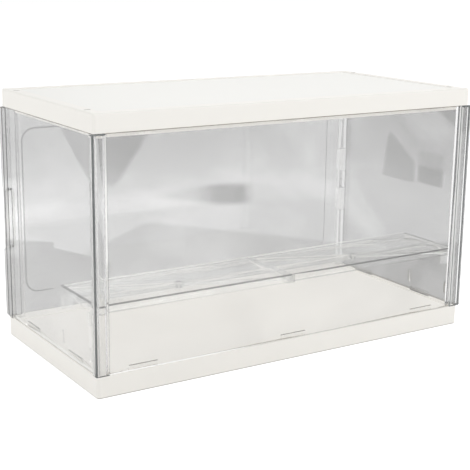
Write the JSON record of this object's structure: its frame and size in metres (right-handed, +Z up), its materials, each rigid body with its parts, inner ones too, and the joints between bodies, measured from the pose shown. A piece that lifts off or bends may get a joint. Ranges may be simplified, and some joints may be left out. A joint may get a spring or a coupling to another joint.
{
  "type": "figurine display case",
  "caption": "Clear box for showing figurines, with a white base and lift-off lid, clear panels in grooved corner posts, a hinged door with a finger pull, and a ribbed step shelf.",
  "frame": {"origin": "middle of the footprint, at table height", "axes": "+X along the length towards the hinge side, +Y towards the door, +Z up. The shelf is on the -Y side."},
  "size_m": [0.323, 0.16, 0.1905],
  "materials": {
    "white_plastic": "moulded, warm white, low gloss",
    "clear_plastic": "moulded, clear, polished"
  },
  "bodies": {
    "case": {"base_tray": "white_plastic", "back_panel": "clear_plastic", "pull_side_panel": "clear_plastic", "hinge_side_panel": "clear_plastic", "back_post_pull_side": "clear_plastic", "back_post_hinge_side": "clear_plastic", "jamb_post": "clear_plastic", "hinge_post": "clear_plastic", "hinge_pin": "clear_plastic", "shelf_bracket_1": "clear_plastic", "shelf_bracket_2": "clear_plastic", "shelf_bracket_3": "clear_plastic", "shelf_bracket_4": "clear_plastic"},
    "door": {"door_panel": "clear_plastic", "door_pull": "clear_plastic"},
    "lid": {"lid": "white_plastic"},
    "shelf": {"shelf_pull_side_half": "clear_plastic", "shelf_hinge_side_half": "clear_plastic", "shelf_joiner_back": "clear_plastic", "shelf_joiner_front": "clear_plastic"}
  },
  "joints": [
    {"name": "door_hinge", "type": "hinge", "parent": "case", "child": "door", "pos_m": [0.1579, 0.0764, 0.0965], "axis": [0, 0, -1], "range_deg": [0, 180]},
    {"name": "lid_lift", "type": "slide", "parent": "case", "child": "lid", "axis": [0, 0, 1], "range_m": [0, 0.06]},
    {"name": "shelf_lift", "type": "slide", "parent": "case", "child": "shelf", "axis": [0, 0, 1], "range_m": [0, 0.1]}
  ]
}
